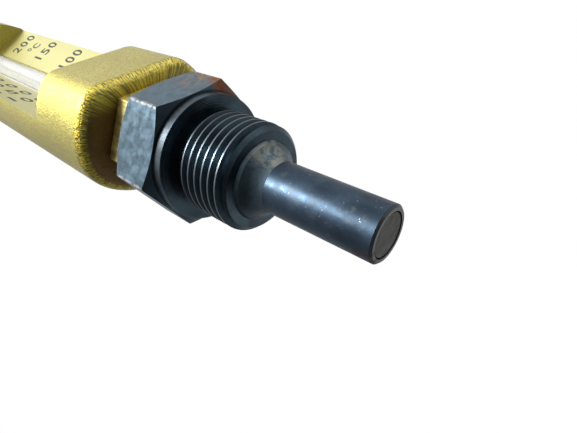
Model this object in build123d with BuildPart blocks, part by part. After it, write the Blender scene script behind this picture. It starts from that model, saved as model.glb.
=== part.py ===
from build123d import *
import math
import os

# Industrial V-line glass thermometer with a screw-in stem, millimetres.
# +Z runs up the stem axis into the case; the origin is on that axis in the collar's
# sealing face. The scale faces -Y, the Celsius side is +X, the Fahrenheit side -X.

# ---- screw fitting ----
pipe_r = 20.955 / 2            # G 1/2 major radius
pitch = 25.4 / 14              # G 1/2 pitch
thread_depth = 1.162
thread_length = 14.0
relief_length = 2.6
relief_r = 9.1
thread_chamfer = 1.1
collar_r = 13.0
collar_height = 2.0
hex_af = 27.0
hex_height = 11.0
hex_chamfer = 1.2
spigot_r = 8.0
spigot_height = 4.0
tube_seat = 8.0                # how far the tube reaches above the sealing face

# ---- immersion stem ----
stem_r = 5.0
stem_wall = 1.0
stem_length = 40.0
stem_edge = 0.4
seat_step = 0.2                # the tube is turned down by this where it is brazed
plug_thickness = 2.4
plug_recess = 0.12
weld_r = 7.7
weld_height = 4.2

# ---- neck sleeve ----
neck_gap = 0.2
neck_af = 22.0
neck_height = 6.7
neck_bore_r = 4.0
neck_spigot_r = 7.0
neck_spigot_height = 13.4
seal_thickness = 1.1
swivel_gap = 0.1
swivel_clearance = 0.05
ring_section_r = 0.75
ring_offset = 3.2
lock_groove_offset = 8.3
lock_groove_width = 3.0
lock_groove_depth = 1.3

# ---- case ----
case_length = 150.0
case_r = 18.0
front_depth = 14.3             # stem axis to the bottom block's front face
top_front_depth = 11.3         # stem axis to the crest of the top block's curved front
top_front_r = 31.0
back_depth = 13.0
bottom_block = 20.0
window_length = 94.0
slot_half = 4.8
slot_lip = 0.5                 # the scale faces start this far in front of the axis
scale_angle = 23.0
slot_depth = 4.6
end_round = 2.4
top_round = 2.0
corner_round = 6.0             # soft corners beside the bottom block's flat front
top_corner_round = 1.0
rod_bore_r = 4.5
web_thickness = 2.0
top_bore_r = 5.8
plug_thread_r = 6.5
plug_thread_length = 10.0
plug_head_r = 7.6
plug_head_height = 2.0
plug_slot_width = 1.6
plug_slot_depth = 1.2
plug_seal_height = 0.6
screw_r = 2.0
screw_tip_r = 1.3
screw_clearance = 0.2
screw_key_af = 2.0
screw_key_depth = 2.0

# ---- glass insert ----
rod_r = 3.0
rod_clearance = 0.08
bore_r = 0.5
thread_clearance = 0.06
bulb_wall = 0.5
bulb_length = 16.0
bulb_gap = 0.8
rod_above_web = 3.0
chamber_r = 1.1
chamber_length = 3.0
chamber_below_top = 8.0
opal_thickness = 0.15
opal_span = 110.0
opal_margin = 1.0
cradle_clearance = 0.2
cradle_front = 0.7             # cradle top edge behind the axis
filling_length = 17.0
filling_clearance = 0.1
centring_height = 3.0
bush_height = 4.0
pad_thickness = 2.5
disc_thickness = 1.0
spring_wire_r = 0.5
spring_turns = 5
inner_clearance = 0.25

# ---- scale ----
zero_mark = 27.5               # 0 C above the case's lower end
mm_per_degree = 0.372
scale_top = 200.0
shown = 20.0                   # reading at rest

# ---- levels that follow ----
hex_top = collar_height + hex_height
spigot_top = hex_top + spigot_height
neck_bottom = hex_top + neck_gap
neck_top = neck_bottom + neck_height
neck_seat = spigot_top + seal_thickness
neck_spigot_top = neck_top + neck_spigot_height
case_bottom = neck_top + swivel_gap
case_top = case_bottom + case_length
window_bottom = case_bottom + bottom_block
window_top = window_bottom + window_length
socket_top = neck_spigot_top + 0.5
ring_z = case_bottom + ring_offset
lock_z = case_bottom + lock_groove_offset
web_top = window_top + web_thickness
rod_top = web_top + rod_above_web
tube_bore = stem_r - stem_wall
seat_r = stem_r - seat_step
weld_end = -thread_length - weld_height
stem_tip = -stem_length
plug_top = stem_tip + plug_thickness
rod_bottom = plug_top + bulb_gap
bulb_floor = rod_bottom + 0.8
bulb_top = bulb_floor + bulb_length
cavity_r = rod_r - bulb_wall
zero_z = case_bottom + zero_mark
reading_z = zero_z + shown * mm_per_degree
hot_z = zero_z + scale_top * mm_per_degree
column_length = hot_z - (window_bottom - 1.0)
chamber_bottom = rod_top - chamber_below_top
head_bottom = case_top - plug_head_height
plug_bottom = head_bottom - plug_thread_length
disc_top = rod_top + pad_thickness + disc_thickness
corner_x = math.sqrt(case_r ** 2 - front_depth ** 2)
corner_angle = math.degrees(math.atan2(front_depth, corner_x))

os.makedirs("parts", exist_ok=True)


# ---------------------------------------------------------------- screw fitting
thread_end = -thread_length
with BuildPart() as threaded_fitting:
    # the hexagon first, its corners turned off to a cone at both ends
    with BuildSketch(Plane.XY.offset(collar_height)):
        RegularPolygon(hex_af / 2, 6, major_radius=False)
    extrude(amount=hex_height)
    with BuildSketch(Plane.XZ):
        cone_r = hex_af / 2 + hex_chamfer * 1.73
        with BuildLine():
            Polyline(
                (0, collar_height), (hex_af / 2, collar_height),
                (cone_r, collar_height + hex_chamfer), (cone_r, hex_top - hex_chamfer),
                (hex_af / 2, hex_top), (0, hex_top), close=True)
        make_face()
    revolve(axis=Axis.Z, mode=Mode.INTERSECT)
    # thread blank, relief, collar and the spigot that carries the neck
    with BuildSketch(Plane.XZ):
        with BuildLine():
            Polyline(
                (0, thread_end), (pipe_r - thread_chamfer, thread_end),
                (pipe_r, thread_end + thread_chamfer), (pipe_r, -relief_length),
                (relief_r, -relief_length), (relief_r, 0), (collar_r, 0),
                (collar_r, collar_height), (spigot_r, collar_height),
                (spigot_r, spigot_top), (0, spigot_top), close=True)
        make_face()
    revolve(axis=Axis.Z)
    # stepped bore, the tube's seat at its step
    for low, high, r in ((thread_end, tube_seat, seat_r), (tube_seat, spigot_top, neck_bore_r)):
        with BuildSketch(Plane.XY.offset(low)):
            Circle(r)
        extrude(amount=high - low, mode=Mode.SUBTRACT)
    # right-hand thread groove, run out into the relief
    helix_start = thread_end - pitch
    with BuildLine():
        Helix(pitch, thread_length - relief_length + 1.8 * pitch, pipe_r,
              center=(0, 0, helix_start))
    with BuildSketch(Plane(origin=(pipe_r, 0, helix_start), x_dir=(1, 0, 0), z_dir=(0, -1, 0))):
        half = pitch * 0.45
        with BuildLine():
            Polyline(
                (0.12, half), (0.12, -half), (-thread_depth, -pitch * 0.09),
                (-thread_depth, pitch * 0.09), close=True)
        make_face()
    sweep(is_frenet=True, mode=Mode.SUBTRACT)
threaded_fitting.part.label = "threaded_fitting"
export_step(threaded_fitting.part, "parts/threaded_fitting.step")

# brazed fillet between the thread's end face and the tube
with BuildPart() as weld_fillet:
    with BuildSketch(Plane.XZ):
        with BuildLine():
            Polyline(
                (stem_r, weld_end), (seat_r, weld_end), (seat_r, thread_end),
                (weld_r, thread_end), (weld_r - 0.3, thread_end - 0.7))
            ThreePointArc((weld_r - 0.3, thread_end - 0.7),
                          (stem_r + 1.0, thread_end - 0.49 * weld_height), (stem_r, weld_end))
        make_face()
    revolve(axis=Axis.Z)
weld_fillet.part.label = "weld_fillet"
export_step(weld_fillet.part, "parts/weld_fillet.step")

# ---------------------------------------------------------------- immersion stem
with BuildPart() as immersion_tube:
    with BuildSketch(Plane.XY.offset(stem_tip)):
        Circle(stem_r)
    extrude(amount=weld_end - stem_tip)
    chamfer(immersion_tube.edges().group_by(Axis.Z)[0], stem_edge)
    with BuildSketch(Plane.XY.offset(weld_end)):
        Circle(seat_r)
    extrude(amount=tube_seat - weld_end)
    with BuildSketch(Plane.XY.offset(stem_tip)):
        Circle(tube_bore)
    extrude(amount=stem_length + tube_seat, mode=Mode.SUBTRACT)
immersion_tube.part.label = "immersion_tube"
export_step(immersion_tube.part, "parts/immersion_tube.step")

with BuildPart() as stem_end_plug:
    with BuildSketch(Plane.XY.offset(stem_tip + plug_recess)):
        Circle(tube_bore)
    extrude(amount=plug_thickness - plug_recess)
    chamfer(stem_end_plug.edges().group_by(Axis.Z)[0], 0.25)
stem_end_plug.part.label = "stem_end_plug"
export_step(stem_end_plug.part, "parts/stem_end_plug.step")

# heat-conducting powder round the bulb
with BuildPart() as heat_filling:
    with BuildSketch(Plane.XY.offset(plug_top)):
        Circle(tube_bore)
        Circle(rod_r + filling_clearance, mode=Mode.SUBTRACT)
    extrude(amount=filling_length)
heat_filling.part.label = "heat_filling"
export_step(heat_filling.part, "parts/heat_filling.step")

# silicone ring that keeps the glass centred in the tube
with BuildPart() as stem_centring_ring:
    with BuildSketch(Plane.XY.offset(tube_seat - 2 * centring_height)):
        Circle(tube_bore)
        Circle(rod_r + rod_clearance, mode=Mode.SUBTRACT)
    extrude(amount=centring_height)
stem_centring_ring.part.label = "stem_centring_ring"
export_step(stem_centring_ring.part, "parts/stem_centring_ring.step")

# ---------------------------------------------------------------- neck
with BuildPart() as neck_seal_ring:
    with BuildSketch(Plane.XY.offset(spigot_top)):
        Circle(spigot_r)
        Circle(neck_bore_r + 1.0, mode=Mode.SUBTRACT)
    extrude(amount=seal_thickness)
neck_seal_ring.part.label = "neck_seal_ring"
export_step(neck_seal_ring.part, "parts/neck_seal_ring.step")

with BuildPart() as neck_sleeve:
    with BuildSketch(Plane.XY.offset(neck_bottom)):
        RegularPolygon(neck_af / 2, 6, major_radius=False)
    extrude(amount=neck_height)
    chamfer(neck_sleeve.edges().group_by(Axis.Z)[0], 0.4)
    chamfer(neck_sleeve.edges().group_by(Axis.Z)[-1], 0.4)
    fillet(neck_sleeve.edges().filter_by(Axis.Z), 0.4)
    with BuildSketch(Plane.XY.offset(neck_top)):
        Circle(neck_spigot_r)
    extrude(amount=neck_spigot_height)
    chamfer(neck_sleeve.edges().group_by(Axis.Z)[-1], 0.5)
    with BuildSketch(Plane.XY.offset(neck_bottom)):
        Circle(spigot_r)
    extrude(amount=neck_seat - neck_bottom, mode=Mode.SUBTRACT)
    with BuildSketch(Plane.XY.offset(neck_seat)):
        Circle(neck_bore_r)
    extrude(amount=neck_spigot_top - neck_seat, mode=Mode.SUBTRACT)
    with BuildSketch(Plane.XY.offset(ring_z - ring_section_r)):
        Circle(neck_spigot_r)
        Circle(neck_spigot_r - 2 * ring_section_r, mode=Mode.SUBTRACT)
    extrude(amount=2 * ring_section_r, mode=Mode.SUBTRACT)
    with BuildSketch(Plane.XY.offset(lock_z - lock_groove_width / 2)):
        Circle(neck_spigot_r)
        Circle(neck_spigot_r - lock_groove_depth, mode=Mode.SUBTRACT)
    extrude(amount=lock_groove_width, mode=Mode.SUBTRACT)
neck_sleeve.part.label = "neck_sleeve"
export_step(neck_sleeve.part, "parts/neck_sleeve.step")

with BuildPart() as swivel_o_ring:
    with BuildSketch(Plane.XZ):
        with Locations((neck_spigot_r - ring_section_r, ring_z)):
            Circle(ring_section_r)
    revolve(axis=Axis.Z)
swivel_o_ring.part.label = "swivel_o_ring"
export_step(swivel_o_ring.part, "parts/swivel_o_ring.step")

# ---------------------------------------------------------------- case
scale_slope = math.tan(math.radians(scale_angle))
far = 2 * case_r
with BuildPart() as case_body:
    # round sides, flat front, elliptical back
    with BuildSketch(Plane.XY.offset(case_bottom)):
        with BuildLine():
            Line((-corner_x, -front_depth), (corner_x, -front_depth))
            CenterArc((0, 0), case_r, -corner_angle, corner_angle)
            EllipticalCenterArc((0, 0), case_r, back_depth, 0, arc_size=180)
            CenterArc((0, 0), case_r, 180, corner_angle)
        make_face()
    extrude(amount=case_length)
    fillet(case_body.edges().filter_by(Axis.Z).group_by(Axis.Y)[0], corner_round)
    # lower, gently curved front on the top block
    with BuildSketch(Plane.XY.offset(window_top)):
        Rectangle(2 * far, 2 * far)
        with Locations((0, top_front_r - top_front_depth)):
            Circle(top_front_r, mode=Mode.SUBTRACT)
        with Locations((0, far / 2)):
            Rectangle(2 * far, far, mode=Mode.SUBTRACT)
    extrude(amount=case_top - window_top, mode=Mode.SUBTRACT)
    top_corners = (case_body.edges().filter_by(Axis.Z)
                   .filter_by_position(Axis.Z, window_top, case_top)
                   .filter_by_position(Axis.Y, -top_front_depth, -1.0))
    fillet(top_corners, top_corner_round)
    fillet(case_body.edges().group_by(Axis.Z)[-1], top_round)
    fillet(case_body.edges().group_by(Axis.Z)[0], end_round)
    # V-shaped scale trough
    with BuildSketch(Plane.XY.offset(window_bottom)):
        with BuildLine():
            Polyline(
                (-slot_half, -slot_lip), (slot_half, -slot_lip),
                (far, -slot_lip - (far - slot_half) * scale_slope), (far, -far),
                (-far, -far), (-far, -slot_lip - (far - slot_half) * scale_slope), close=True)
        make_face()
    extrude(amount=window_length, mode=Mode.SUBTRACT)
    # slot for the glass
    with BuildSketch(Plane.XY.offset(window_bottom)):
        with Locations((0, (slot_depth - slot_lip) / 2)):
            Rectangle(2 * slot_half, slot_depth + slot_lip)
    extrude(amount=window_length, mode=Mode.SUBTRACT)
    # socket for the neck, bore for the rod, top bore with the plug's thread and head
    for low, high, r in (
            (case_bottom, socket_top, neck_spigot_r + swivel_clearance),
            (socket_top, window_bottom, rod_bore_r),
            (window_top, web_top, rod_r + inner_clearance),
            (web_top, plug_bottom, top_bore_r),
            (plug_bottom, head_bottom, plug_thread_r),
            (head_bottom, case_top, plug_head_r)):
        with BuildSketch(Plane.XY.offset(low)):
            Circle(r)
        extrude(amount=high - low, mode=Mode.SUBTRACT)
    # radial hole for the lock screw, in the back
    with BuildSketch(Plane(origin=(0, back_depth + 1, lock_z), x_dir=(1, 0, 0), z_dir=(0, -1, 0))):
        Circle(screw_r)
    extrude(amount=back_depth + 1 - neck_spigot_r + 0.5, mode=Mode.SUBTRACT)
case_body.part.label = "case_body"
export_step(case_body.part, "parts/case_body.step")

# cup-socket lock screw, its tip free in the neck's groove
tip_y = neck_spigot_r - lock_groove_depth + screw_clearance
with BuildPart() as lock_screw:
    with BuildSketch(Plane(origin=(0, back_depth - 0.9, lock_z), x_dir=(1, 0, 0), z_dir=(0, -1, 0))):
        Circle(screw_r)
    extrude(amount=back_depth - 0.9 - neck_spigot_r - 0.5)
    chamfer(lock_screw.edges().group_by(Axis.Y)[-1], 0.25)
    with BuildSketch(Plane(origin=(0, neck_spigot_r + 0.5, lock_z), x_dir=(1, 0, 0), z_dir=(0, -1, 0))):
        Circle(screw_tip_r)
    extrude(amount=neck_spigot_r + 0.5 - tip_y)
    with BuildSketch(Plane(origin=(0, back_depth - 0.9, lock_z), x_dir=(1, 0, 0), z_dir=(0, -1, 0))):
        RegularPolygon(screw_key_af / 2, 6, major_radius=False)
    extrude(amount=screw_key_depth, mode=Mode.SUBTRACT)
lock_screw.part.label = "lock_screw"
export_step(lock_screw.part, "parts/lock_screw.step")

# white cradle that lines the slot behind the glass
with BuildPart() as rod_cradle:
    with BuildSketch(Plane.XY.offset(window_bottom)):
        with Locations((0, (slot_depth + cradle_front) / 2)):
            Rectangle(2 * slot_half, slot_depth - cradle_front)
        Circle(rod_r + opal_thickness + cradle_clearance, mode=Mode.SUBTRACT)
    extrude(amount=window_length)
rod_cradle.part.label = "rod_cradle"
export_step(rod_cradle.part, "parts/rod_cradle.step")

# rubber bushes that centre the rod in both blocks
with BuildPart() as lower_rod_bush:
    with BuildSketch(Plane.XY.offset(window_bottom - bush_height)):
        Circle(rod_bore_r)
        Circle(rod_r + rod_clearance, mode=Mode.SUBTRACT)
    extrude(amount=bush_height)
lower_rod_bush.part.label = "lower_rod_bush"
export_step(lower_rod_bush.part, "parts/lower_rod_bush.step")

with BuildPart() as upper_rod_bush:
    with BuildSketch(Plane.XY.offset(web_top)):
        Circle(top_bore_r)
        Circle(rod_r + rod_clearance, mode=Mode.SUBTRACT)
    extrude(amount=rod_above_web - 0.4)
upper_rod_bush.part.label = "upper_rod_bush"
export_step(upper_rod_bush.part, "parts/upper_rod_bush.step")

# ---------------------------------------------------------------- glass insert
with BuildPart() as glass_rod:
    with BuildSketch(Plane.XY.offset(rod_bottom)):
        Circle(rod_r)
    extrude(amount=rod_top - rod_bottom)
    fillet(glass_rod.edges().group_by(Axis.Z)[0], 0.8)
    chamfer(glass_rod.edges().group_by(Axis.Z)[-1], 0.3)
    for low, high, r in ((bulb_floor, bulb_top, cavity_r), (bulb_top, chamber_bottom, bore_r),
                         (chamber_bottom, chamber_bottom + chamber_length, chamber_r)):
        with BuildSketch(Plane.XY.offset(low)):
            Circle(r)
        extrude(amount=high - low, mode=Mode.SUBTRACT)
glass_rod.part.label = "glass_rod"
export_step(glass_rod.part, "parts/glass_rod.step")

# opal stripe fused on the back of the rod
with BuildPart() as opal_strip:
    with BuildSketch(Plane.XY.offset(window_bottom + opal_margin)):
        with BuildLine():
            low_a = 90 - opal_span / 2
            outer = CenterArc((0, 0), rod_r + opal_thickness, low_a, opal_span)
            inner = CenterArc((0, 0), rod_r, low_a, opal_span)
            Line(outer @ 0, inner @ 0)
            Line(outer @ 1, inner @ 1)
        make_face()
    extrude(amount=window_length - 2 * opal_margin)
opal_strip.part.label = "opal_strip"
export_step(opal_strip.part, "parts/opal_strip.step")

# liquid in the bulb, and the thread that rises from it
column_r = bore_r - thread_clearance
with BuildPart() as bulb_liquid:
    with BuildSketch(Plane.XY.offset(bulb_floor)):
        Circle(cavity_r)
        Circle(bore_r, mode=Mode.SUBTRACT)
    extrude(amount=bulb_length)
bulb_liquid.part.label = "bulb_liquid"
export_step(bulb_liquid.part, "parts/bulb_liquid.step")

with BuildPart() as liquid_thread:
    with BuildSketch(Plane.XY.offset(reading_z - column_length)):
        Circle(column_r)
    extrude(amount=column_length)
    fillet(liquid_thread.edges().group_by(Axis.Z)[-1], column_r * 0.6)
liquid_thread.part.label = "liquid_thread"
export_step(liquid_thread.part, "parts/liquid_thread.step")

# ---------------------------------------------------------------- hold-down in the top bore
with BuildPart() as rod_pad:
    with BuildSketch(Plane.XY.offset(rod_top)):
        Circle(top_bore_r - inner_clearance)
    extrude(amount=pad_thickness)
rod_pad.part.label = "rod_pad"
export_step(rod_pad.part, "parts/rod_pad.step")

with BuildPart() as pressure_disc:
    with BuildSketch(Plane.XY.offset(rod_top + pad_thickness)):
        Circle(top_bore_r - inner_clearance)
        Circle(1.5, mode=Mode.SUBTRACT)
    extrude(amount=disc_thickness)
pressure_disc.part.label = "pressure_disc"
export_step(pressure_disc.part, "parts/pressure_disc.step")

spring_r = top_bore_r - inner_clearance - 2 * spring_wire_r
spring_low = disc_top + spring_wire_r
spring_high = plug_bottom - spring_wire_r
with BuildPart() as hold_down_spring:
    with BuildLine():
        Helix((spring_high - spring_low) / spring_turns, spring_high - spring_low, spring_r,
              center=(0, 0, spring_low))
    with BuildSketch(Plane(origin=(spring_r, 0, spring_low), x_dir=(1, 0, 0), z_dir=(0, -1, 0))):
        Circle(spring_wire_r)
    sweep(is_frenet=True)
hold_down_spring.part.label = "hold_down_spring"
export_step(hold_down_spring.part, "parts/hold_down_spring.step")

# flat seal and slotted plug that close the top
with BuildPart() as top_plug_seal:
    with BuildSketch(Plane.XY.offset(head_bottom)):
        Circle(plug_head_r - inner_clearance)
        Circle(plug_thread_r, mode=Mode.SUBTRACT)
    extrude(amount=plug_seal_height)
top_plug_seal.part.label = "top_plug_seal"
export_step(top_plug_seal.part, "parts/top_plug_seal.step")

with BuildPart() as top_plug:
    with BuildSketch(Plane.XY.offset(plug_bottom)):
        Circle(plug_thread_r)
    extrude(amount=case_top - plug_bottom)
    with BuildSketch(Plane.XY.offset(head_bottom + plug_seal_height)):
        Circle(plug_head_r - inner_clearance)
    extrude(amount=plug_head_height - plug_seal_height)
    chamfer(top_plug.edges().group_by(Axis.Z)[-1], 0.3)
    with BuildSketch(Plane.XY.offset(case_top)):
        Rectangle(2 * plug_head_r, plug_slot_width)
    extrude(amount=-plug_slot_depth, mode=Mode.SUBTRACT)
    with BuildSketch(Plane.XY.offset(plug_bottom)):
        Circle(plug_thread_r - 2)
    extrude(amount=plug_thread_length - 2, mode=Mode.SUBTRACT)
top_plug.part.label = "top_plug"
export_step(top_plug.part, "parts/top_plug.step")
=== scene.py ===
"""Finishes, scale and stage for the industrial glass thermometer, laid out as a Blender add-on.

Lengths are in metres. +Z runs up the stem axis, the scale faces -Y, and the origin is on the
axis in the collar's sealing face.
"""
import math

import bpy
from bpy.props import FloatProperty, FloatVectorProperty, PointerProperty
from mathutils import Euler, Matrix, Vector


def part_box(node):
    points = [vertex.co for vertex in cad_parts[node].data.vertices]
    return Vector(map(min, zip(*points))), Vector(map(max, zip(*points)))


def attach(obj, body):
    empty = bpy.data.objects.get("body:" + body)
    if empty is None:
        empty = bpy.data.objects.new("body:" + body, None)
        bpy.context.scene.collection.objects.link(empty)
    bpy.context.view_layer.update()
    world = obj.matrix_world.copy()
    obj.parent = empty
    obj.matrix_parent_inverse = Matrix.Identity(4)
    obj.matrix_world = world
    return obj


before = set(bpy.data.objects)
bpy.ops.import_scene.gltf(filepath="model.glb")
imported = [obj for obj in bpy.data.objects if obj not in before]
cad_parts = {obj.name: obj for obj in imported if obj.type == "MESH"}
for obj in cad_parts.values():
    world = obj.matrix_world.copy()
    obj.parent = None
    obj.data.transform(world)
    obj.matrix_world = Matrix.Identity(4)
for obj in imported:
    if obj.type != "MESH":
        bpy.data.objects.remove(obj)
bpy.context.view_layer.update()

bl_info = {
    "name": "Industrial Glass Thermometer",
    "version": (1, 0, 0),
    "blender": (4, 5, 0),
    "location": "View3D > Sidebar > Thermometer",
    "description": "Finishes, numerals, graduations and stage for a glass thermometer",
    "category": "Object",
}

MM = 0.001
CASE_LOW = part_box("case_body")[0].z
CRADLE_LOW, CRADLE_HIGH = (corner.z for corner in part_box("rod_cradle"))
SLOT_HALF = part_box("rod_cradle")[1].x
ROD_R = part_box("glass_rod")[1].x
SLOT_LIP = 0.5 * MM
SCALE_ANGLE = math.radians(23.0)
SLOT_REACH_X, SLOT_REACH_Y = 5.5 * MM, 6.0 * MM
BEAD_TOP = CASE_LOW + 3.2 * MM
HEX_CORNER = 15.59 * MM
COLLAR_R, COLLAR_TOP = 13.0 * MM, 2.0 * MM
THREAD_R, THREAD_TOP = 10.48 * MM, -2.5 * MM
RUST_CORNER = (8.2 * MM, -13.3 * MM, 2.6 * MM)
RUST_FLAT = (5.6 * MM, -13.5 * MM, 8.2 * MM)
TIP_LOW, TIP_RUST = -40.0 * MM, (-4.6 * MM, 2.2 * MM, -39.2 * MM)
BRAZE_SCUFF = (0.6 * MM, -6.6 * MM, -15.4 * MM)
FLOOR_HEIGHT, FLOOR_SIZE = -0.14, 6.0
CAMERA_PLACE = (-43.24 * MM, -42.20 * MM, -61.68 * MM)
CAMERA_TURN = (146.337, 48.858, 6.622)
CAMERA_LENS = 25.78
LAMP_TARGET = (0.0, 0.0, 0.03)

# Lamps: name, direction from the case, distance, size, power, colour
LAMPS = (
    ("key_box", (-0.59, -0.60, 0.54), 0.60, 0.20, 4.0, (1.0, 0.99, 0.97)),
    ("edge_box", (0.52, -0.84, 0.05), 0.60, 0.12, 0.14, (1.0, 0.98, 0.93)),
)
# The room's broad glows: direction, how tight, how bright
GLOWS = (
    ((-0.43, -0.70, 0.57), 3.2, 1.10),
    ((0.55, -0.82, -0.25), 6.4, 1.45),
    ((0.56, 0.62, -0.55), 4.0, 0.60),
    ((0.81, 0.30, 0.50), 2.0, 0.40),
)


# ------------------------------------------------------------------ properties
class ThermometerScale(bpy.types.PropertyGroup):
    """Where the scale stands on the case, and how big its numerals are"""

    zero_mark: FloatProperty(
        name="Zero mark", description="Height of 0 C above the case's lower end",
        default=27.5 * MM, unit="LENGTH")
    per_degree: FloatProperty(
        name="Length per degree", description="Length of one Celsius degree on the scale",
        default=0.372 * MM, unit="LENGTH", precision=6)
    digit_height: FloatProperty(
        name="Digit height", description="Height of a numeral", default=5.2 * MM, unit="LENGTH")
    digit_width: FloatProperty(
        name="Digit width", description="Width of a numeral", default=2.6 * MM, unit="LENGTH")
    digit_pitch: FloatProperty(
        name="Digit pitch", description="Distance from one numeral to the next",
        default=3.45 * MM, unit="LENGTH")
    digit_margin: FloatProperty(
        name="Digit margin", description="Distance from the slot to the nearest numeral's middle",
        default=4.0 * MM, unit="LENGTH")
    ink_height: FloatProperty(
        name="Ink thickness", description="How proud the print stands", default=0.012 * MM,
        unit="LENGTH", precision=6)
    tick_height: FloatProperty(
        name="Graduation line", description="Width of a graduation line on the glass",
        default=0.20 * MM, unit="LENGTH", precision=6)


class ThermometerFinish(bpy.types.PropertyGroup):
    """Colours of the visible finishes"""

    gold: FloatVectorProperty(
        name="Anodised gold", description="Colour of the blasted blocks and sides", subtype="COLOR",
        default=(0.74, 0.67, 0.17))
    gold_satin: FloatVectorProperty(
        name="Satin gold", description="Colour of the trough that carries the scale", subtype="COLOR",
        default=(0.76, 0.73, 0.33))
    gold_deep: FloatVectorProperty(
        name="Deep gold", description="Colour in the grain and on the machined ends", subtype="COLOR",
        default=(0.50, 0.40, 0.09))
    neck: FloatVectorProperty(
        name="Neck gold", description="Reflected colour of the machined neck", subtype="COLOR",
        default=(1.0, 0.80, 0.34))
    black: FloatVectorProperty(
        name="Black oxide", description="Colour of the fitting", subtype="COLOR",
        default=(0.052, 0.080, 0.102))
    blue: FloatVectorProperty(
        name="Blued steel", description="Colour of the stem", subtype="COLOR",
        default=(0.042, 0.066, 0.098))
    ink: FloatVectorProperty(
        name="Ink", description="Colour of the numerals", subtype="COLOR", default=(0.03, 0.035, 0.03))


# ------------------------------------------------------------------ node helpers
class Graph:
    """A node material and short ways to add the nodes that the finishes share."""

    def __init__(self, name, metallic=0.0):
        self.material = bpy.data.materials.new(name)
        self.material.use_nodes = True
        self.tree = self.material.node_tree
        self.tree.nodes.clear()
        out = self.tree.nodes.new("ShaderNodeOutputMaterial")
        self.shader = self.tree.nodes.new("ShaderNodeBsdfPrincipled")
        self.shader.inputs["Metallic"].default_value = metallic
        self.tree.links.new(self.shader.outputs["BSDF"], out.inputs["Surface"])
        self.coords = self.tree.nodes.new("ShaderNodeTexCoord").outputs["Object"]
        self.normal = self.tree.nodes.new("ShaderNodeNewGeometry").outputs["Normal"]

    def put(self, value, socket):
        if isinstance(value, bpy.types.NodeSocket):
            self.tree.links.new(value, socket)
        else:
            socket.default_value = value

    def to(self, name, value):
        """Feeds one of the shader's own inputs."""
        self.tree.links.new(value, self.shader.inputs[name])

    def math(self, op, a, b=0.0, clamp=False):
        node = self.tree.nodes.new("ShaderNodeMath")
        node.operation = op
        node.use_clamp = clamp
        self.put(a, node.inputs[0])
        self.put(b, node.inputs[1])
        return node.outputs[0]

    def times(self, a, b):
        return self.math("MULTIPLY", a, b)

    def plus(self, a, b):
        return self.math("ADD", a, b)

    def split(self, vector):
        node = self.tree.nodes.new("ShaderNodeSeparateXYZ")
        self.tree.links.new(vector, node.inputs[0])
        return node.outputs[0], node.outputs[1], node.outputs[2]

    def join(self, x, y, z):
        node = self.tree.nodes.new("ShaderNodeCombineXYZ")
        for value, socket in zip((x, y, z), node.inputs):
            self.put(value, socket)
        return node.outputs[0]

    def stretch(self, scale):
        node = self.tree.nodes.new("ShaderNodeMapping")
        node.inputs["Scale"].default_value = scale
        self.tree.links.new(self.coords, node.inputs["Vector"])
        return node.outputs[0]

    def noise(self, scale, detail=4.0, rough=0.5, vector=None):
        node = self.tree.nodes.new("ShaderNodeTexNoise")
        node.inputs["Scale"].default_value = scale
        node.inputs["Detail"].default_value = detail
        node.inputs["Roughness"].default_value = rough
        self.tree.links.new(vector or self.coords, node.inputs["Vector"])
        return node.outputs["Fac"]

    def cells(self, scale):
        node = self.tree.nodes.new("ShaderNodeTexVoronoi")
        node.inputs["Scale"].default_value = scale
        self.tree.links.new(self.coords, node.inputs["Vector"])
        return node.outputs["Distance"]

    def ramp(self, value, low, high, to_low=0.0, to_high=1.0):
        node = self.tree.nodes.new("ShaderNodeMapRange")
        node.interpolation_type = "SMOOTHSTEP"
        self.put(value, node.inputs["Value"])
        for name, number in (("From Min", low), ("From Max", high), ("To Min", to_low), ("To Max", to_high)):
            node.inputs[name].default_value = number
        return node.outputs[0]

    def mix(self, amount, a, b):
        node = self.tree.nodes.new("ShaderNodeMix")
        node.data_type = "RGBA"
        self.put(amount, node.inputs[0])
        for value, socket in ((a, node.inputs[6]), (b, node.inputs[7])):
            if isinstance(value, bpy.types.NodeSocket):
                self.tree.links.new(value, socket)
            else:
                socket.default_value = (*value, 1.0)
        return node.outputs[2]

    def near(self, place, inner, outer):
        """1 within inner of a place, falling to 0 at outer."""
        node = self.tree.nodes.new("ShaderNodeVectorMath")
        node.operation = "DISTANCE"
        self.tree.links.new(self.coords, node.inputs[0])
        node.inputs[1].default_value = place
        return self.ramp(node.outputs["Value"], inner, outer, 1.0, 0.0)

    def bump(self, height, distance, strength=1.0, under=None):
        node = self.tree.nodes.new("ShaderNodeBump")
        node.inputs["Strength"].default_value = strength
        node.inputs["Distance"].default_value = distance
        self.tree.links.new(height, node.inputs["Height"])
        if under is not None:
            self.tree.links.new(under, node.inputs["Normal"])
        return node.outputs[0]


def shade(colour, factor):
    return tuple(min(1.0, c * factor) for c in colour)


def give(material, *names):
    """Puts one material on whole CAD nodes."""
    for name in names:
        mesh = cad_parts[name].data
        mesh.materials.clear()
        mesh.materials.append(material)


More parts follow.
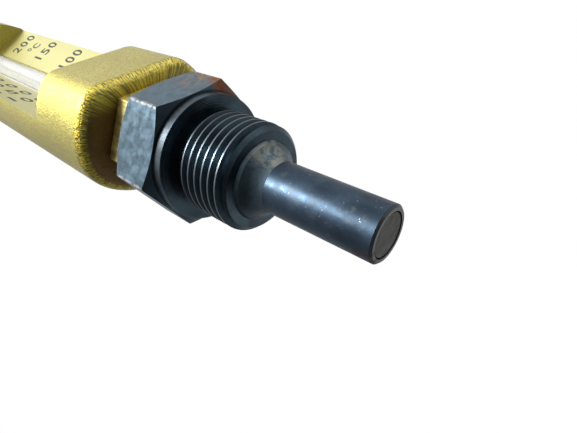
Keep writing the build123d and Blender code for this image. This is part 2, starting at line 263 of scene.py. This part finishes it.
# ------------------------------------------------------------------ finishes
def anodised_case(finish):
    """Gold anodising: blasted blocks that sparkle, radial streaks round the lower end, satin trough, and
    painted shade on the lower end face.
    """
    g = Graph("anodised_gold", 1.0)
    g.shader.inputs["Coat Weight"].default_value = 0.6
    g.shader.inputs["Coat Roughness"].default_value = 0.3
    gold, satin_gold, deep = tuple(finish.gold), tuple(finish.gold_satin), tuple(finish.gold_deep)
    x, y, z = g.split(g.coords)
    ny, nz = g.split(g.normal)[1:]
    blocks = g.math("MAXIMUM", g.math("LESS_THAN", z, CRADLE_LOW + 0.05 * MM),
                    g.math("GREATER_THAN", z, CRADLE_HIGH - 0.05 * MM))
    beside = g.math("MAXIMUM", g.math("GREATER_THAN", g.math("ABSOLUTE", x), SLOT_REACH_X),
                    g.math("GREATER_THAN", y, SLOT_REACH_Y))
    outside = g.times(g.math("GREATER_THAN", ny, -0.6), beside)
    blocks = g.math("MAXIMUM", blocks, outside)
    cloud = g.noise(70, 4, 0.6)
    fine = g.noise(2500, 3, 0.7)
    grain = g.cells(2800)
    turn = g.times(g.math("ARCTAN2", y, x), 18 * MM)
    streak = g.noise(2900, 3, 0.7, g.join(turn, g.times(z, 0.3), 0.0))
    low_end = g.ramp(z, BEAD_TOP - 0.9 * MM, BEAD_TOP, 1.0, 0.0)
    low_end = g.times(low_end, g.ramp(nz, -0.15, -0.02, 1.0, 0.0))
    colour = g.mix(g.ramp(cloud, 0.35, 0.65), shade(gold, 0.92), shade(gold, 1.06))
    colour = g.mix(blocks, satin_gold, colour)
    colour = g.mix(g.times(g.ramp(fine, 0.42, 0.62), g.plus(g.times(blocks, 0.75), 0.15)), colour, deep)
    bead = g.mix(g.ramp(streak, 0.42, 0.58), (0.86, 0.70, 0.08), shade(deep, 0.35))
    colour = g.mix(g.times(low_end, 0.85), colour, bead)
    # Painted shade: the downward end face is darkened to brown (0.16, 0.09, 0.025), only a tenth as much near
    # its front edge.
    facing_down = g.ramp(nz, -0.995, -0.86, 1.0, 0.0)
    painted_end_shade = g.times(facing_down, g.math("LESS_THAN", z, CASE_LOW + 1.0 * MM))
    painted_end_shade = g.times(painted_end_shade, g.ramp(y, -12.5 * MM, -8.0 * MM, 0.1, 1.0))
    colour = g.mix(painted_end_shade, colour, (0.16, 0.09, 0.025))
    g.to("Base Color", colour)
    rough = g.plus(g.ramp(grain, 0.0, 0.7, 0.26, 0.40), g.times(cloud, 0.08))
    rough = g.plus(rough, g.times(g.math("SUBTRACT", 1.0, blocks), 0.05))
    g.to("Roughness", rough)
    satin = g.bump(fine, 0.02 * MM, 0.35)
    blast = g.bump(g.times(g.plus(grain, g.times(fine, 2.0)), blocks), 0.07 * MM, 0.8, satin)
    g.to("Normal", g.bump(g.times(streak, low_end), 0.15 * MM, 0.6, blast))
    return g.material


def machined_gold(finish):
    """Machined gold: fine marks that stand along the axis on the neck's flats."""
    g = Graph("machined_gold", 1.0)
    neck = tuple(finish.neck)
    marks = g.noise(1500, 3, 0.6, g.stretch((1.0, 1.0, 0.05)))
    stains = g.noise(260, 4, 0.65)
    colour = g.mix(g.ramp(marks, 0.3, 0.7), shade(neck, 0.85), shade(neck, 1.12))
    colour = g.mix(g.ramp(stains, 0.56, 0.72), colour, shade(neck, 0.5))
    g.to("Base Color", colour)
    g.to("Roughness", g.ramp(marks, 0.3, 0.7, 0.34, 0.50))
    g.to("Normal", g.bump(marks, 0.04 * MM, 0.5))
    return g.material


def black_oxide(finish):
    """Black oxide on turned steel: cloudy flats, bright chipped corners, painted highlights (partly wear) on
    the thread crests and the collar's edge, rust at one corner.
    """
    g = Graph("black_oxide", 0.9)
    black = tuple(finish.black)
    x, y, z = g.split(g.coords)
    nz = g.split(g.normal)[2]
    out = g.math("SQRT", g.plus(g.times(x, x), g.times(y, y)))
    cloud = g.noise(150, 5, 0.6)
    blotch = g.noise(520, 4, 0.65)
    specks = g.ramp(g.noise(2600, 3, 0.75), 0.62, 0.70)
    hexagon = g.times(g.ramp(z, COLLAR_TOP - 0.1 * MM, COLLAR_TOP + 0.2 * MM), g.ramp(nz, -0.4, -0.1))
    colour = g.mix(g.ramp(cloud, 0.3, 0.7), shade(black, 0.75), shade(black, 1.35))
    colour = g.mix(hexagon, colour, g.mix(g.ramp(blotch, 0.3, 0.7), shade(black, 1.9), shade(black, 3.1)))
    colour = g.mix(g.times(specks, g.plus(g.times(hexagon, 0.5), 0.12)), colour, (0.42, 0.44, 0.45))
    chipped = g.ramp(g.noise(900, 4, 0.6), 0.38, 0.55)
    corner = g.times(g.ramp(out, HEX_CORNER - 0.31 * MM, HEX_CORNER - 0.13 * MM), chipped)
    # Painted highlight, partly wear: thin bright rings on the thread crests (0.22) and on the collar's outer
    # edge (0.12).
    below_relief = g.ramp(z, THREAD_TOP + 0.1 * MM, THREAD_TOP - 0.1 * MM)
    crest = g.times(g.ramp(out, THREAD_R - 0.11 * MM, THREAD_R - 0.03 * MM), below_relief)
    crest = g.times(g.times(crest, g.ramp(out, THREAD_R + 0.12 * MM, THREAD_R + 0.22 * MM, 1.0, 0.0)), 0.22)
    collar = g.times(g.ramp(out, COLLAR_R - 0.15 * MM, COLLAR_R - 0.03 * MM),
                     g.ramp(out, COLLAR_R + 0.02 * MM, COLLAR_R + 0.1 * MM, 1.0, 0.0))
    collar = g.times(collar, 0.12)
    # Real wear on the chipped hex corners and painted highlight on the crests and the collar's edge, all
    # lightened towards grey.
    wear_and_highlight = g.math("MAXIMUM", g.math("MAXIMUM", corner, crest), collar)
    colour = g.mix(wear_and_highlight, colour, (0.46, 0.48, 0.50))
    flakes = g.noise(1000, 5, 0.7)
    heavy = g.times(g.near(RUST_CORNER, 1.8 * MM, 4.6 * MM), g.ramp(flakes, 0.38, 0.48))
    light = g.times(g.near(RUST_FLAT, 1.5 * MM, 7.0 * MM), g.ramp(flakes, 0.47, 0.58))
    colour = g.mix(g.times(light, 0.75), colour, (0.36, 0.21, 0.11))
    colour = g.mix(heavy, colour, g.mix(g.noise(1700, 3), (0.17, 0.04, 0.018), (0.38, 0.17, 0.07)))
    g.to("Base Color", colour)
    rough = g.ramp(blotch, 0.3, 0.7, 0.27, 0.42)
    rough = g.math("ADD", rough, g.times(g.math("MAXIMUM", heavy, g.times(light, 0.5)), 0.45), True)
    g.to("Roughness", rough)
    rings = g.noise(1200, 2, 0.6, g.join(g.times(out, 2.0), g.times(z, 0.4), 0.0))
    turned = g.times(rings, g.ramp(nz, -0.9, -0.99))
    grit = g.bump(g.plus(blotch, g.noise(3200, 3, 0.6)), 0.02 * MM, 0.45)
    g.to("Normal", g.bump(turned, 0.12 * MM, 0.7, grit))
    return g.material


def blued_stem(finish):
    """Blued tube: soft clouds, small pale rings and specks, a little rust at the tip's lower edge."""
    g = Graph("blued_stem", 0.9)
    blue = tuple(finish.blue)
    z = g.split(g.coords)[2]
    cloud = g.noise(110, 5, 0.65, g.stretch((1.0, 1.0, 0.6)))
    blotch = g.noise(420, 4, 0.6)
    specks = g.ramp(g.noise(1500, 2, 0.75), 0.68, 0.74)
    colour = g.mix(g.ramp(cloud, 0.3, 0.7), shade(blue, 0.7), shade(blue, 1.5))
    colour = g.mix(g.times(g.ramp(blotch, 0.55, 0.72), 0.5), colour, (0.11, 0.13, 0.13))
    colour = g.mix(g.times(specks, 0.6), colour, (0.40, 0.44, 0.47))
    rust = g.times(g.near(TIP_RUST, 0.8 * MM, 3.4 * MM),
                   g.ramp(g.noise(900, 4, 0.65), 0.42, 0.55))
    colour = g.mix(g.times(rust, 0.7), colour, (0.11, 0.045, 0.03))
    rim = g.times(g.ramp(z, TIP_LOW + 0.45 * MM, TIP_LOW + 0.25 * MM), 0.45)
    colour = g.mix(rim, colour, (0.16, 0.16, 0.14))
    g.to("Base Color", colour)
    g.to("Roughness", g.plus(g.ramp(blotch, 0.3, 0.7, 0.32, 0.46), g.times(rust, 0.3)))
    g.to("Normal", g.bump(g.plus(g.times(cloud, 2.0), blotch), 0.05 * MM, 0.6))
    return g.material


def dark_end():
    """The closed tip: dark, lightly turned."""
    g = Graph("dark_end", 1.0)
    stain = g.noise(600, 4, 0.65)
    x, y = g.split(g.coords)[:2]
    out = g.math("SQRT", g.plus(g.times(x, x), g.times(y, y)))
    rings = g.noise(1400, 2, 0.6, g.join(out, 0.0, 0.0))
    g.to("Base Color", g.mix(g.ramp(stain, 0.35, 0.7), (0.022, 0.024, 0.020), (0.045, 0.048, 0.042)))
    g.to("Roughness", g.ramp(stain, 0.3, 0.7, 0.36, 0.5))
    g.to("Normal", g.bump(rings, 0.05 * MM, 0.5))
    return g.material


def braze_finish(finish):
    """Braze fillet: dark like the fitting, with a dull grey scuffed patch on the side that faces front."""
    g = Graph("braze", 0.75)
    black = tuple(finish.black)
    patch = g.times(g.near(BRAZE_SCUFF, 2.2 * MM, 5.2 * MM),
                    g.ramp(g.noise(700, 5, 0.7), 0.36, 0.6))
    base = g.mix(g.ramp(g.noise(300, 4, 0.6), 0.3, 0.7), shade(black, 0.8), shade(black, 1.6))
    g.to("Base Color", g.mix(patch, base, (0.28, 0.30, 0.28)))
    g.to("Roughness", g.plus(g.times(patch, 0.25), g.ramp(g.noise(900, 3), 0.3, 0.7, 0.34, 0.48)))
    g.to("Normal", g.bump(g.noise(1600, 4, 0.65), 0.08 * MM, 0.6))
    return g.material


def quiet(name, colour, other, rough, metallic=0.0, scale=900):
    """Small and hidden pieces: two close tones, with grain in the roughness and the bump."""
    g = Graph(name, metallic)
    grain = g.noise(scale, 4, 0.6)
    g.to("Base Color", g.mix(g.ramp(grain, 0.35, 0.65), colour, other))
    g.to("Roughness", g.ramp(grain, 0.3, 0.7, rough, rough + 0.12))
    g.to("Normal", g.bump(grain, 0.02 * MM, 0.4))
    return g.material


def drawn_glass():
    """Clear drawn glass with faint streaks along its length."""
    g = Graph("drawn_glass")
    streak = g.noise(900, 2, 0.5, g.stretch((1.0, 1.0, 0.02)))
    g.shader.inputs["Transmission Weight"].default_value = 0.6
    g.shader.inputs["IOR"].default_value = 1.5
    g.to("Base Color", g.mix(streak, (0.95, 0.97, 0.96), (1.0, 1.0, 1.0)))
    g.to("Roughness", g.ramp(streak, 0.3, 0.7, 0.02, 0.08))
    g.to("Normal", g.bump(streak, 0.002 * MM, 0.15))
    return g.material


# ------------------------------------------------------------------ modelling helpers
def start_piece():
    """Object mode with nothing selected."""
    if bpy.context.object and bpy.context.object.mode != "OBJECT":
        bpy.ops.object.mode_set(mode="OBJECT")
    bpy.ops.object.select_all(action="DESELECT")


def pick(objects):
    """Selects these objects and makes the first one active."""
    start_piece()
    for obj in objects:
        obj.select_set(True)
    bpy.context.view_layer.objects.active = objects[0]


def settle(obj, name, material, body):
    """Puts a finished piece's place in its mesh, names it, gives it its finish and lets it ride."""
    pick([obj])
    bpy.ops.object.transform_apply(location=True, rotation=True, scale=True)
    obj.name = name
    obj.data.name = name
    obj.data.materials.clear()
    obj.data.materials.append(material)
    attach(obj, body)
    return obj


def face_plane(side):
    """The scale face on one side (+1 Celsius, -1 Fahrenheit) as a matrix: X reads, Y is up, Z faces out.

    Its origin is where the face meets the slot, at the height of the sealing face.
    """
    read = Vector((math.cos(SCALE_ANGLE), -side * math.sin(SCALE_ANGLE), 0.0))
    up = Vector((0.0, 0.0, 1.0))
    out = read.cross(up)
    place = Matrix((read, up, out)).transposed().to_4x4()
    place.translation = Vector((side * SLOT_HALF, -SLOT_LIP, 0.0))
    return place


def print_digit(text, across, height, side, scale):
    """One printed character: text made a mesh, sized, then laid on its scale face."""
    start_piece()
    bpy.ops.object.text_add(location=(0.0, 0.0, 0.0))
    obj = bpy.context.object
    obj.data.body = text
    obj.data.align_x = "CENTER"
    obj.data.align_y = "CENTER"
    obj.data.extrude = 0.5
    obj.data.resolution_u = 5
    obj.data.size = 1.0
    obj.data.offset = 0.02
    bpy.ops.object.convert(target="MESH")
    obj = bpy.context.object
    low = [min(v.co[i] for v in obj.data.vertices) for i in range(3)]
    high = [max(v.co[i] for v in obj.data.vertices) for i in range(3)]
    middle = Vector([(a + b) / 2 for a, b in zip(low, high)])
    tall = scale.digit_height * (0.55 if text == "o" else 0.8 if text in "CF" else 1.0)
    if text == "1":
        wide = 0.8 * tall * (high[0] - low[0]) / (high[1] - low[1])
    else:
        wide = scale.digit_width * (0.6 if text == "o" else 1.0)
    size = (wide / (high[0] - low[0]), tall / (high[1] - low[1]), scale.ink_height / (high[2] - low[2]))
    local = Matrix.Diagonal((*size, 1.0)) @ Matrix.Translation(-middle)
    spot = Matrix.Translation((across, height, scale.ink_height / 2))
    obj.data.transform(face_plane(side) @ spot @ local)
    return obj


def print_numbers(numbers, side, scale):
    """A column of numbers, each with its characters read from left to right, joined into one piece."""
    printed = []
    for text, height in numbers:
        for i, digit in enumerate(text):
            step = i if side > 0 else len(text) - 1 - i
            across = side * (scale.digit_margin + step * scale.digit_pitch)
            printed.append(print_digit(digit, across, height, side, scale))
    pick(printed)
    bpy.ops.object.join()
    return bpy.context.object


def celsius_height(degrees, scale):
    return CASE_LOW + scale.zero_mark + degrees * scale.per_degree


def fahrenheit_height(degrees, scale):
    return celsius_height((degrees - 32.0) / 1.8, scale)


def graduation(start, stop, scale):
    """One line on the glass: a thin bent strip from one angle off the front to another."""
    start_piece()
    sides = 120
    bpy.ops.mesh.primitive_cylinder_add(
        vertices=sides, radius=ROD_R + scale.ink_height, depth=scale.tick_height, end_fill_type="NOTHING")
    obj = bpy.context.object
    bpy.ops.object.mode_set(mode="EDIT")
    bpy.ops.mesh.select_all(action="DESELECT")
    bpy.ops.object.mode_set(mode="OBJECT")
    low, high = sorted((start, stop))
    for face in obj.data.polygons:
        angle = math.degrees(math.atan2(face.center.x, -face.center.y))
        face.select = not low <= angle <= high
    bpy.ops.object.mode_set(mode="EDIT")
    bpy.ops.mesh.delete(type="FACE")
    bpy.ops.object.mode_set(mode="OBJECT")
    wall = obj.modifiers.new("wall", "SOLIDIFY")
    wall.thickness = scale.ink_height * 0.9
    wall.offset = -1.0
    bpy.ops.object.modifier_apply(modifier=wall.name)
    return obj


def graduate(side, lines, scale):
    """Copies of the model lines up the glass on one side, joined into one piece. Lines are (kind, height)."""
    spans = {"long": (36.0, 72.0), "middle": (42.0, 64.0), "short": (45.0, 58.0)}
    models = {kind: graduation(side * a, side * b, scale) for kind, (a, b) in spans.items()}
    made = []
    for kind, height in lines:
        copy = bpy.data.objects.new("graduation", models[kind].data.copy())
        copy.data.transform(Matrix.Translation((0.0, 0.0, height)))
        bpy.context.scene.collection.objects.link(copy)
        made.append(copy)
    for model in models.values():
        bpy.data.objects.remove(model)
    pick(made)
    bpy.ops.object.join()
    return bpy.context.object


# ------------------------------------------------------------------ light
def light_room(scene):
    """White behind the part; a soft room of broad glows for everything the part reflects."""
    world = bpy.data.worlds.new("studio")
    world.use_nodes = True
    scene.world = world
    tree = world.node_tree
    tree.nodes.clear()
    links = tree.links
    direction = tree.nodes.new("ShaderNodeTexCoord").outputs["Generated"]

    def math_node(operation, a, b):
        node = tree.nodes.new("ShaderNodeMath")
        node.operation = operation
        for value, socket in ((a, node.inputs[0]), (b, node.inputs[1])):
            if isinstance(value, bpy.types.NodeSocket):
                links.new(value, socket)
            else:
                socket.default_value = value
        return node.outputs[0]

    parts = tree.nodes.new("ShaderNodeSeparateXYZ")
    links.new(direction, parts.inputs[0])
    sky = tree.nodes.new("ShaderNodeMapRange")
    links.new(parts.outputs["Z"], sky.inputs["Value"])
    for name, number in (("From Min", -0.5), ("From Max", 0.4), ("To Min", 0.08), ("To Max", 0.30)):
        sky.inputs[name].default_value = number
    total = sky.outputs[0]
    for towards, tight, strength in GLOWS:
        dot = tree.nodes.new("ShaderNodeVectorMath")
        dot.operation = "DOT_PRODUCT"
        links.new(direction, dot.inputs[0])
        dot.inputs[1].default_value = Vector(towards).normalized()
        glow = math_node("POWER", math_node("MAXIMUM", dot.outputs["Value"], 0.0), tight)
        total = math_node("ADD", total, math_node("MULTIPLY", glow, strength))

    room = tree.nodes.new("ShaderNodeBackground")
    room.inputs["Color"].default_value = (1.0, 1.0, 1.0, 1.0)
    links.new(total, room.inputs["Strength"])
    seen = tree.nodes.new("ShaderNodeBackground")
    seen.inputs["Color"].default_value = (1.0, 1.0, 1.0, 1.0)
    path = tree.nodes.new("ShaderNodeLightPath")
    pick_one = tree.nodes.new("ShaderNodeMixShader")
    links.new(path.outputs["Is Camera Ray"], pick_one.inputs[0])
    links.new(room.outputs[0], pick_one.inputs[1])
    links.new(seen.outputs[0], pick_one.inputs[2])
    out = tree.nodes.new("ShaderNodeOutputWorld")
    links.new(pick_one.outputs[0], out.inputs["Surface"])


# ------------------------------------------------------------------ operators
class THERMOMETER_OT_case_finish(bpy.types.Operator):
    """Anodise the case, machine the neck and the plug"""

    bl_idname = "thermometer.case_finish"
    bl_label = "Case and neck finish"

    def execute(self, context):
        finish = context.scene.thermometer_finish
        give(anodised_case(finish), "case_body")
        give(machined_gold(finish), "neck_sleeve", "top_plug")
        return {"FINISHED"}


class THERMOMETER_OT_stem_finish(bpy.types.Operator):
    """Blacken the fitting, blue the stem and scuff the braze"""

    bl_idname = "thermometer.stem_finish"
    bl_label = "Fitting and stem finish"

    def execute(self, context):
        finish = context.scene.thermometer_finish
        give(black_oxide(finish), "threaded_fitting")
        give(blued_stem(finish), "immersion_tube")
        give(dark_end(), "stem_end_plug")
        give(braze_finish(finish), "weld_fillet")
        return {"FINISHED"}


class THERMOMETER_OT_glass_finish(bpy.types.Operator):
    """Clear glass, its opal stripe, the white cradle and the dyed liquid"""

    bl_idname = "thermometer.glass_finish"
    bl_label = "Glass, cradle and liquid finish"

    def execute(self, context):
        give(drawn_glass(), "glass_rod")
        give(quiet("white_cradle", (0.82, 0.81, 0.76), (0.88, 0.87, 0.83), 0.32), "rod_cradle")
        give(quiet("opal_stripe", (0.90, 0.90, 0.88), (0.95, 0.95, 0.93), 0.18), "opal_strip")
        give(quiet("dyed_liquid", (0.02, 0.03, 0.16), (0.03, 0.05, 0.24), 0.08),
             "liquid_thread", "bulb_liquid")
        return {"FINISHED"}


class THERMOMETER_OT_inner_finish(bpy.types.Operator):
    """Finishes of the seals, bushes, filling, spring and screws"""

    bl_idname = "thermometer.inner_finish"
    bl_label = "Inner pieces finish"

    def execute(self, context):
        give(quiet("black_rubber", (0.018, 0.018, 0.018), (0.045, 0.045, 0.045), 0.55), "stem_centring_ring",
             "swivel_o_ring", "lower_rod_bush", "upper_rod_bush", "rod_pad")
        give(quiet("seal_fibre", (0.20, 0.13, 0.09), (0.32, 0.23, 0.16), 0.6),
             "neck_seal_ring", "top_plug_seal")
        give(quiet("graphite", (0.03, 0.03, 0.03), (0.07, 0.07, 0.07), 0.45, 0.3), "heat_filling")
        give(quiet("plain_steel", (0.28, 0.28, 0.29), (0.42, 0.42, 0.43), 0.26, 1.0), "lock_screw",
             "pressure_disc", "hold_down_spring")
        return {"FINISHED"}


class THERMOMETER_OT_celsius_numbers(bpy.types.Operator):
    """Print the Celsius numbers and unit on the right scale face"""

    bl_idname = "thermometer.celsius_numbers"
    bl_label = "Celsius numbers"

    def execute(self, context):
        scale = context.scene.thermometer_scale
        ink = quiet("celsius_ink", tuple(context.scene.thermometer_finish.ink), (0.06, 0.065, 0.05), 0.5)
        column = [(str(n), celsius_height(n, scale)) for n in range(50, 201, 50)]
        column.append(("0", celsius_height(0, scale)))
        piece = print_numbers(column, 1, scale)
        unit_height = celsius_height(175, scale)
        step = scale.digit_margin + scale.digit_pitch
        unit = [print_digit("C", step + 1.0 * MM, unit_height, 1, scale),
                print_digit("o", step - 1.5 * MM, unit_height + 1.5 * MM, 1, scale)]
        pick([piece, *unit])
        bpy.ops.object.join()
        settle(piece, "celsius_numbers", ink, "case")
        return {"FINISHED"}


class THERMOMETER_OT_fahrenheit_numbers(bpy.types.Operator):
    """Print the Fahrenheit numbers and unit on the left scale face"""

    bl_idname = "thermometer.fahrenheit_numbers"
    bl_label = "Fahrenheit numbers"

    def execute(self, context):
        scale = context.scene.thermometer_scale
        ink = quiet("fahrenheit_ink", tuple(context.scene.thermometer_finish.ink), (0.06, 0.065, 0.05), 0.5)
        column = [(str(n), fahrenheit_height(n, scale)) for n in (50, 100, 150, 200, 250, 300, 350)]
        piece = print_numbers(column, -1, scale)
        step = scale.digit_margin + scale.digit_pitch
        unit_height = fahrenheit_height(385, scale)
        unit = [print_digit("F", -step + 1.0 * MM, unit_height, -1, scale),
                print_digit("o", -step - 1.5 * MM, unit_height + 1.5 * MM, -1, scale)]
        pick([piece, *unit])
        bpy.ops.object.join()
        settle(piece, "fahrenheit_numbers", ink, "case")
        return {"FINISHED"}


class THERMOMETER_OT_graduations(bpy.types.Operator):
    """Draw the graduation lines on both sides of the glass"""

    bl_idname = "thermometer.graduations"
    bl_label = "Graduations"

    def execute(self, context):
        scale = context.scene.thermometer_scale
        ink = quiet("graduation_ink", (0.04, 0.04, 0.04), (0.08, 0.08, 0.075), 0.4)
        celsius = [("long" if n % 50 == 0 else "middle" if n % 10 == 0 else "short", celsius_height(n, scale))
                   for n in range(0, 201, 2)]
        fahrenheit = [("long" if n % 50 == 0 else "short", fahrenheit_height(n, scale))
                      for n in range(35, 391, 5)]
        settle(graduate(1, celsius, scale), "celsius_graduations", ink, "case")
        settle(graduate(-1, fahrenheit, scale), "fahrenheit_graduations", ink, "case")
        return {"FINISHED"}


class THERMOMETER_OT_stage(bpy.types.Operator):
    """Pale floor, soft studio light and the camera"""

    bl_idname = "thermometer.stage"
    bl_label = "Floor, light and camera"

    def execute(self, context):
        scene = context.scene
        start_piece()
        bpy.ops.mesh.primitive_plane_add(size=FLOOR_SIZE, location=(0.0, 0.0, FLOOR_HEIGHT))
        floor = bpy.context.object
        floor.name = "pale_floor"
        bpy.ops.object.transform_apply(location=True, rotation=True, scale=True)
        g = Graph("pale_floor")
        tone = g.noise(3, 2)
        g.to("Base Color", g.mix(tone, (0.90, 0.90, 0.90), (0.93, 0.93, 0.93)))
        g.shader.inputs["Roughness"].default_value = 0.9
        g.shader.inputs["Emission Color"].default_value = (1.0, 1.0, 1.0, 1.0)
        g.shader.inputs["Emission Strength"].default_value = 0.75
        floor.data.materials.append(g.material)
        floor.visible_glossy = False
        floor.visible_diffuse = False

        light_room(scene)
        for name, direction, distance, size, power, colour in LAMPS:
            data = bpy.data.lights.new(name, "AREA")
            data.shape = "DISK"
            data.size = size
            data.energy = power
            data.color = colour
            lamp = bpy.data.objects.new(name, data)
            scene.collection.objects.link(lamp)
            towards = Vector(direction).normalized()
            lamp.location = Vector(LAMP_TARGET) + towards * distance
            lamp.rotation_euler = towards.to_track_quat("Z", "Y").to_euler()
            lamp.visible_camera = False

        data = bpy.data.cameras.new("camera")
        camera = bpy.data.objects.new("camera", data)
        scene.collection.objects.link(camera)
        camera.location = CAMERA_PLACE
        camera.rotation_euler = Euler([math.radians(angle) for angle in CAMERA_TURN])
        data.sensor_width = 36.0
        data.lens = CAMERA_LENS
        data.clip_start = 5 * MM
        scene.camera = camera
        scene.view_settings.view_transform = "Standard"
        return {"FINISHED"}


class THERMOMETER_PT_panel(bpy.types.Panel):
    """Sizes, colours and steps of the thermometer"""

    bl_label = "Thermometer"
    bl_idname = "THERMOMETER_PT_panel"
    bl_space_type = "VIEW_3D"
    bl_region_type = "UI"
    bl_category = "Thermometer"

    def draw(self, context):
        layout = self.layout
        for group in (context.scene.thermometer_scale, context.scene.thermometer_finish):
            column = layout.column(align=True)
            for name in group.bl_rna.properties.keys():
                if name not in ("rna_type", "name"):
                    column.prop(group, name)
        for step in STEPS:
            layout.operator(step.bl_idname)


STEPS = (
    THERMOMETER_OT_case_finish,
    THERMOMETER_OT_stem_finish,
    THERMOMETER_OT_glass_finish,
    THERMOMETER_OT_inner_finish,
    THERMOMETER_OT_celsius_numbers,
    THERMOMETER_OT_fahrenheit_numbers,
    THERMOMETER_OT_graduations,
    THERMOMETER_OT_stage,
)
CLASSES = (ThermometerScale, ThermometerFinish, *STEPS, THERMOMETER_PT_panel)


def register():
    for cls in CLASSES:
        bpy.utils.register_class(cls)
    bpy.types.Scene.thermometer_scale = PointerProperty(type=ThermometerScale)
    bpy.types.Scene.thermometer_finish = PointerProperty(type=ThermometerFinish)


def unregister():
    del bpy.types.Scene.thermometer_finish
    del bpy.types.Scene.thermometer_scale
    for cls in reversed(CLASSES):
        bpy.utils.unregister_class(cls)


def main():
    register()
    bpy.ops.thermometer.case_finish()
    bpy.ops.thermometer.stem_finish()
    bpy.ops.thermometer.glass_finish()
    bpy.ops.thermometer.inner_finish()
    bpy.ops.thermometer.celsius_numbers()
    bpy.ops.thermometer.fahrenheit_numbers()
    bpy.ops.thermometer.graduations()
    bpy.ops.thermometer.stage()


if __name__ == "__main__":
    main()
